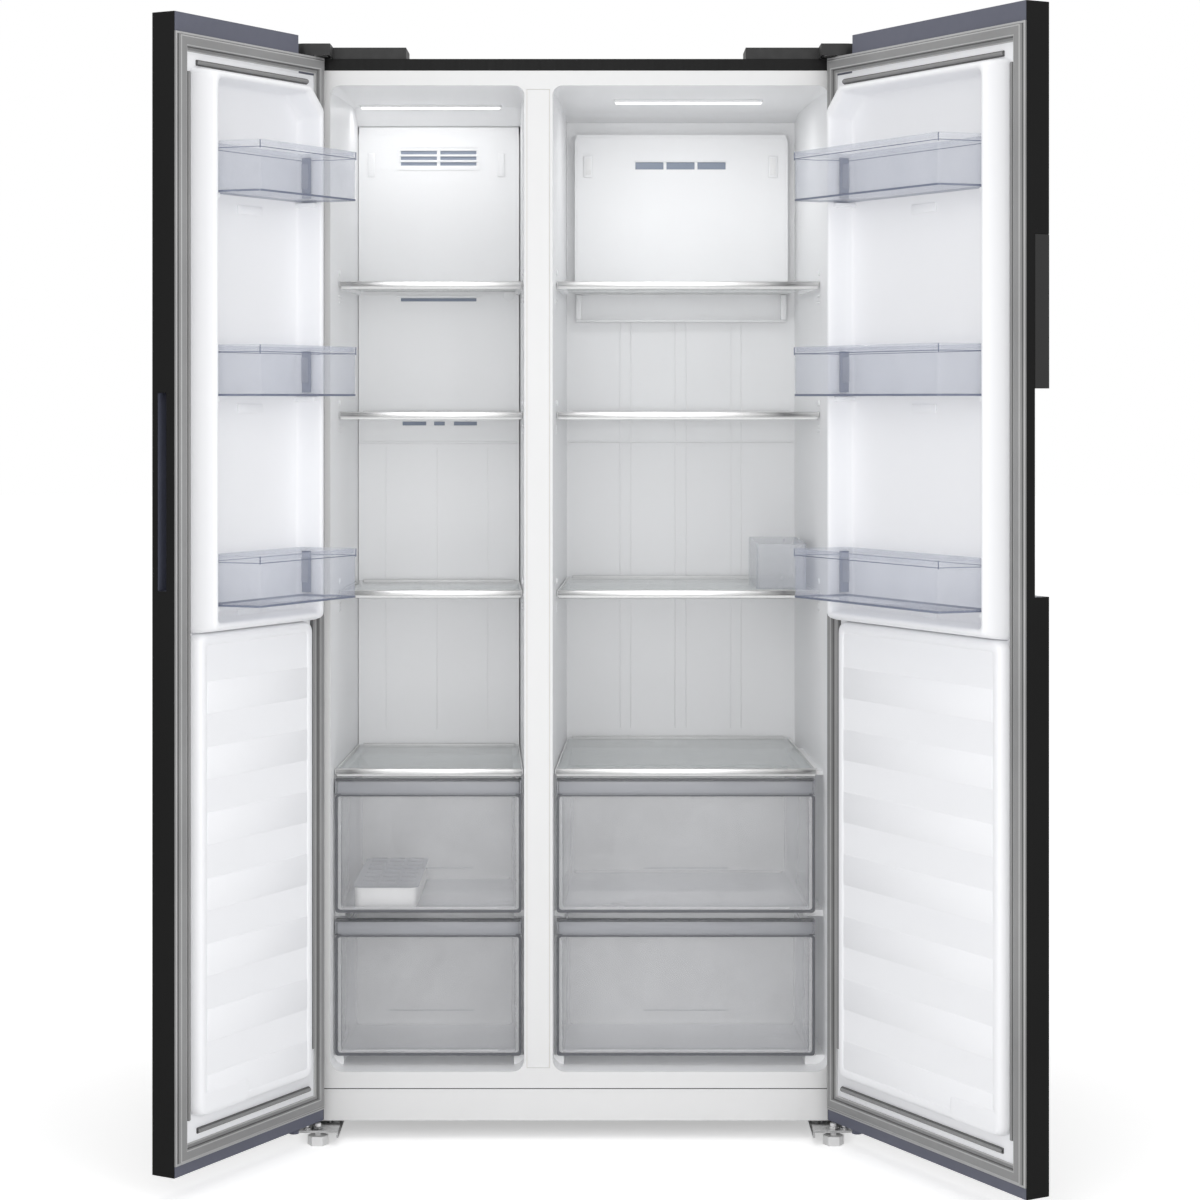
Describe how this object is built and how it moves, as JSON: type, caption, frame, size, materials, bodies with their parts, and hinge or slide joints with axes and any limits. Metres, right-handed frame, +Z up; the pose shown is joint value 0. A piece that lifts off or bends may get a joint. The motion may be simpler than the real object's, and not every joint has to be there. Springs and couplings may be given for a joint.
{
  "type": "side by side refrigerator",
  "caption": "Side-by-side fridge freezer, black outside and white inside, with glass shelves, drawers and smoke-tinted door bins, both doors open.",
  "frame": {"origin": "on the floor, under the middle of the box round the object with both doors standing open", "axes": "+Z up, +Y from the doors to the cabinet's back, +X to the right as the user faces the fridge"},
  "size_m": [1.332, 1.0698, 1.7875],
  "materials": {
    "black_steel": "satin black coated sheet steel",
    "zinc_sheet": "galvanised sheet",
    "white_plastic": "white moulded liner plastic, soft gloss",
    "white_frame": "white coated frame, satin",
    "foam": "rigid polyurethane foam",
    "black_plastic": "black moulded plastic, fine grain",
    "door_trim": "dark grey moulded plastic",
    "black_glass": "black display window, gloss",
    "lamp": "frosted lamp cover",
    "compressor_black": "black enamelled pump shell",
    "aluminium_fins": "rolled aluminium fins and tube",
    "grey_plastic": "grey moulded plastic",
    "steel_bracket": "bright plated steel",
    "foot_plastic": "white moulded plastic",
    "roller_plastic": "dark roller tread",
    "shelf_glass": "clear toughened glass with steel front bar",
    "drawer_clear": "clear moulded polystyrene",
    "drawer_front": "clear front with smoke grey edge",
    "bin_smoke": "clear plastic with a blue-grey smoke tint",
    "ice_white": "white moulded plastic",
    "ice_clear": "clear moulded plastic",
    "gasket_grey": "soft grey magnetic gasket"
  },
  "bodies": {
    "cabinet": {"cabinet_shell": "black_steel", "back_panel": "zinc_sheet", "base_tray": "zinc_sheet", "front_frame": "white_frame", "freezer_liner": "white_plastic", "fridge_liner": "white_plastic", "foam_insulation": "foam", "mullion_strip": "white_frame", "kick_plate": "white_frame", "air_panels": "white_plastic", "led_lamps": "lamp", "control_box": "grey_plastic", "compressor": "compressor_black", "condenser": "aluminium_fins", "evaporator": "aluminium_fins", "drain_pan": "grey_plastic", "compressor_cover": "black_plastic", "hinge_covers": "black_plastic", "door_hinges": "steel_bracket"},
    "freezer_door": {"freezer_door_skin": "black_steel", "freezer_door_trim": "door_trim", "freezer_door_core": "foam", "freezer_door_liner": "white_plastic", "freezer_door_gasket": "gasket_grey"},
    "fridge_door": {"fridge_door_skin": "black_steel", "fridge_door_trim": "door_trim", "fridge_door_core": "foam", "fridge_door_liner": "white_plastic", "fridge_door_gasket": "gasket_grey", "display_module": "black_glass"},
    "condenser_fan": {"condenser_fan": "grey_plastic"},
    "evaporator_fan": {"evaporator_fan": "grey_plastic"},
    "foot_left": {"foot_left": "foot_plastic"},
    "foot_right": {"foot_right": "foot_plastic"},
    "rear_rollers": {"rear_rollers": "roller_plastic"},
    "freezer_shelf_1": {"freezer_shelf_1": "shelf_glass"},
    "freezer_shelf_2": {"freezer_shelf_2": "shelf_glass"},
    "freezer_shelf_3": {"freezer_shelf_3": "shelf_glass"},
    "freezer_shelf_4": {"freezer_shelf_4": "shelf_glass"},
    "freezer_bin_1": {"freezer_bin_1": "bin_smoke"},
    "freezer_bin_2": {"freezer_bin_2": "bin_smoke"},
    "freezer_bin_3": {"freezer_bin_3": "bin_smoke"},
    "fridge_shelf_1": {"fridge_shelf_1": "shelf_glass"},
    "fridge_shelf_2": {"fridge_shelf_2": "shelf_glass"},
    "fridge_shelf_3": {"fridge_shelf_3": "shelf_glass"},
    "fridge_shelf_4": {"fridge_shelf_4": "shelf_glass"},
    "fridge_bin_1": {"fridge_bin_1": "bin_smoke"},
    "fridge_bin_2": {"fridge_bin_2": "bin_smoke"},
    "fridge_bin_3": {"fridge_bin_3": "bin_smoke"},
    "freezer_drawer_1": {"freezer_drawer_1": "drawer_clear", "freezer_drawer_front_1": "drawer_front"},
    "freezer_drawer_2": {"freezer_drawer_2": "drawer_clear", "freezer_drawer_front_2": "drawer_front"},
    "crisper_1": {"crisper_1": "drawer_clear", "crisper_front_1": "drawer_front"},
    "crisper_2": {"crisper_2": "drawer_clear", "crisper_front_2": "drawer_front"},
    "ice_box": {"ice_box": "ice_white"},
    "ice_lid": {"ice_lid": "ice_clear"},
    "egg_tray": {"egg_tray": "ice_clear"}
  },
  "joints": [
    {"name": "freezer_door_hinge", "type": "hinge", "parent": "cabinet", "child": "freezer_door", "pos_m": [-0.46702, -0.08663, 0.9], "axis": [0, 0, -1], "range_deg": [-119.3, 10]},
    {"name": "fridge_door_hinge", "type": "hinge", "parent": "cabinet", "child": "fridge_door", "pos_m": [0.40438, -0.08663, 0.9], "axis": [0, 0, 1], "range_deg": [-119.3, 10]},
    {"name": "condenser_fan_spin", "type": "hinge", "parent": "cabinet", "child": "condenser_fan", "pos_m": [-0.13232, 0.41312, 0.15], "axis": [1, 0, 0], "continuous": true},
    {"name": "evaporator_fan_spin", "type": "hinge", "parent": "cabinet", "child": "evaporator_fan", "pos_m": [-0.27832, 0.38312, 1.25], "axis": [0, 1, 0], "continuous": true},
    {"name": "foot_left_turn", "type": "hinge", "parent": "cabinet", "child": "foot_left", "pos_m": [-0.44832, -0.08663, 0.008], "axis": [0, 0, 1], "range_deg": [-180, 180]},
    {"name": "foot_right_turn", "type": "hinge", "parent": "cabinet", "child": "foot_right", "pos_m": [0.38568, -0.08663, 0.008], "axis": [0, 0, 1], "range_deg": [-180, 180]},
    {"name": "rear_roller_spin", "type": "hinge", "parent": "cabinet", "child": "rear_rollers", "pos_m": [-0.03132, 0.48312, 0.018], "axis": [1, 0, 0], "continuous": true},
    {"name": "freezer_shelf_1_slide", "type": "slide", "parent": "cabinet", "child": "freezer_shelf_1", "axis": [0, -1, 0], "range_m": [0, 0.18]},
    {"name": "freezer_shelf_2_slide", "type": "slide", "parent": "cabinet", "child": "freezer_shelf_2", "axis": [0, -1, 0], "range_m": [0, 0.18]},
    {"name": "freezer_shelf_3_slide", "type": "slide", "parent": "cabinet", "child": "freezer_shelf_3", "axis": [0, -1, 0], "range_m": [0, 0.18]},
    {"name": "freezer_shelf_4_slide", "type": "slide", "parent": "cabinet", "child": "freezer_shelf_4", "axis": [0, -1, 0], "range_m": [0, 0.18]},
    {"name": "freezer_bin_1_lift", "type": "slide", "parent": "freezer_door", "child": "freezer_bin_1", "axis": [0, 0, 1], "range_m": [0, 0.05]},
    {"name": "freezer_bin_2_lift", "type": "slide", "parent": "freezer_door", "child": "freezer_bin_2", "axis": [0, 0, 1], "range_m": [0, 0.05]},
    {"name": "freezer_bin_3_lift", "type": "slide", "parent": "freezer_door", "child": "freezer_bin_3", "axis": [0, 0, 1], "range_m": [0, 0.05]},
    {"name": "fridge_shelf_1_slide", "type": "slide", "parent": "cabinet", "child": "fridge_shelf_1", "axis": [0, -1, 0], "range_m": [0, 0.18]},
    {"name": "fridge_shelf_2_slide", "type": "slide", "parent": "cabinet", "child": "fridge_shelf_2", "axis": [0, -1, 0], "range_m": [0, 0.18]},
    {"name": "fridge_shelf_3_slide", "type": "slide", "parent": "cabinet", "child": "fridge_shelf_3", "axis": [0, -1, 0], "range_m": [0, 0.18]},
    {"name": "fridge_shelf_4_slide", "type": "slide", "parent": "cabinet", "child": "fridge_shelf_4", "axis": [0, -1, 0], "range_m": [0, 0.18]},
    {"name": "fridge_bin_1_lift", "type": "slide", "parent": "fridge_door", "child": "fridge_bin_1", "axis": [0, 0, 1], "range_m": [0, 0.05]},
    {"name": "fridge_bin_2_lift", "type": "slide", "parent": "fridge_door", "child": "fridge_bin_2", "axis": [0, 0, 1], "range_m": [0, 0.05]},
    {"name": "fridge_bin_3_lift", "type": "slide", "parent": "fridge_door", "child": "fridge_bin_3", "axis": [0, 0, 1], "range_m": [0, 0.05]},
    {"name": "freezer_drawer_1_slide", "type": "slide", "parent": "cabinet", "child": "freezer_drawer_1", "axis": [0, -1, 0], "range_m": [0, 0.28]},
    {"name": "freezer_drawer_2_slide", "type": "slide", "parent": "cabinet", "child": "freezer_drawer_2", "axis": [0, -1, 0], "range_m": [0, 0.2]},
    {"name": "crisper_1_slide", "type": "slide", "parent": "cabinet", "child": "crisper_1", "axis": [0, -1, 0], "range_m": [0, 0.3]},
    {"name": "crisper_2_slide", "type": "slide", "parent": "cabinet", "child": "crisper_2", "axis": [0, -1, 0], "range_m": [0, 0.2]},
    {"name": "ice_box_lift", "type": "slide", "parent": "freezer_drawer_1", "child": "ice_box", "axis": [0, 0, 1], "range_m": [0, 0.12]},
    {"name": "ice_lid_lift", "type": "slide", "parent": "ice_box", "child": "ice_lid", "axis": [0, 0, 1], "range_m": [0, 0.03]},
    {"name": "egg_tray_lift", "type": "slide", "parent": "fridge_shelf_3", "child": "egg_tray", "axis": [0, 0, 1], "range_m": [0, 0.1]}
  ]
}
